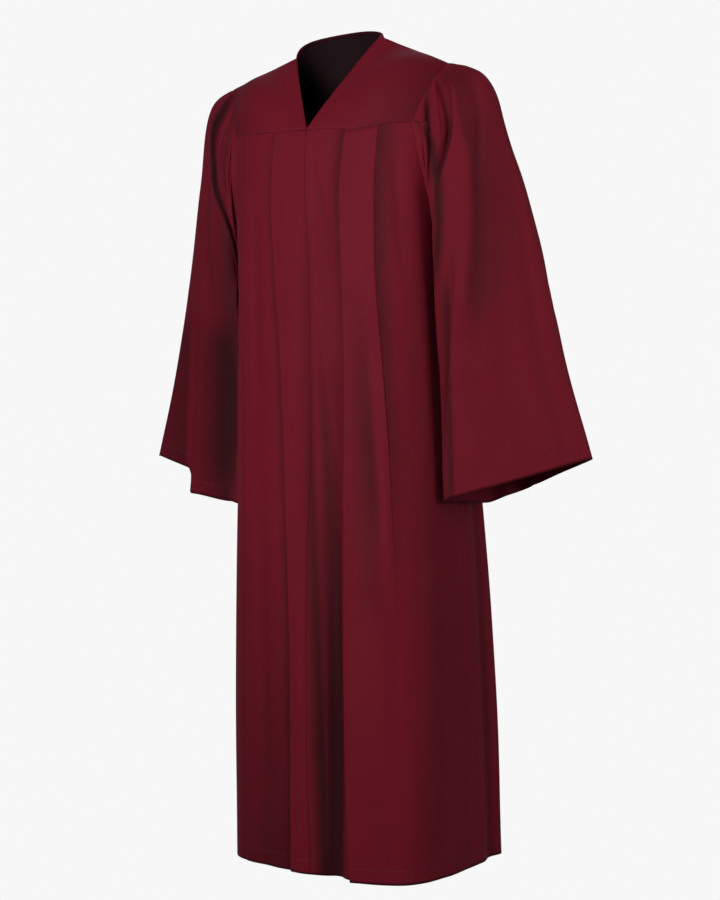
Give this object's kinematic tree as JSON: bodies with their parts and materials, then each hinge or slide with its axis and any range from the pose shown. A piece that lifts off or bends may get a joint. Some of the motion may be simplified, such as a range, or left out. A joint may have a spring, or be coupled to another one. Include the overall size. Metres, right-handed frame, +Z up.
{
  "type": "graduation gown",
  "caption": "Long dark red graduation gown, worn and hollow, with a V neck, a yoke, pleated fronts, a gathered back and wide bell sleeves.",
  "frame": {"origin": "midway between the two side neck points, where the wearer's shoulders hold the gown", "axes": "+Z up along the gown's length, +X towards the wearer's left, -Y towards the wearer's front"},
  "size_m": [0.8051, 0.3754, 1.3269],
  "materials": {
    "gown_cloth": "dark red woven polyester, matt with a soft sheen"
  },
  "bodies": {
    "root": {"yoke_front_right": "gown_cloth", "yoke_front_left": "gown_cloth", "yoke_back": "gown_cloth", "front_right": "gown_cloth", "front_left": "gown_cloth", "back": "gown_cloth", "sleeve_right": "gown_cloth", "sleeve_left": "gown_cloth"}
  },
  "joints": []
}
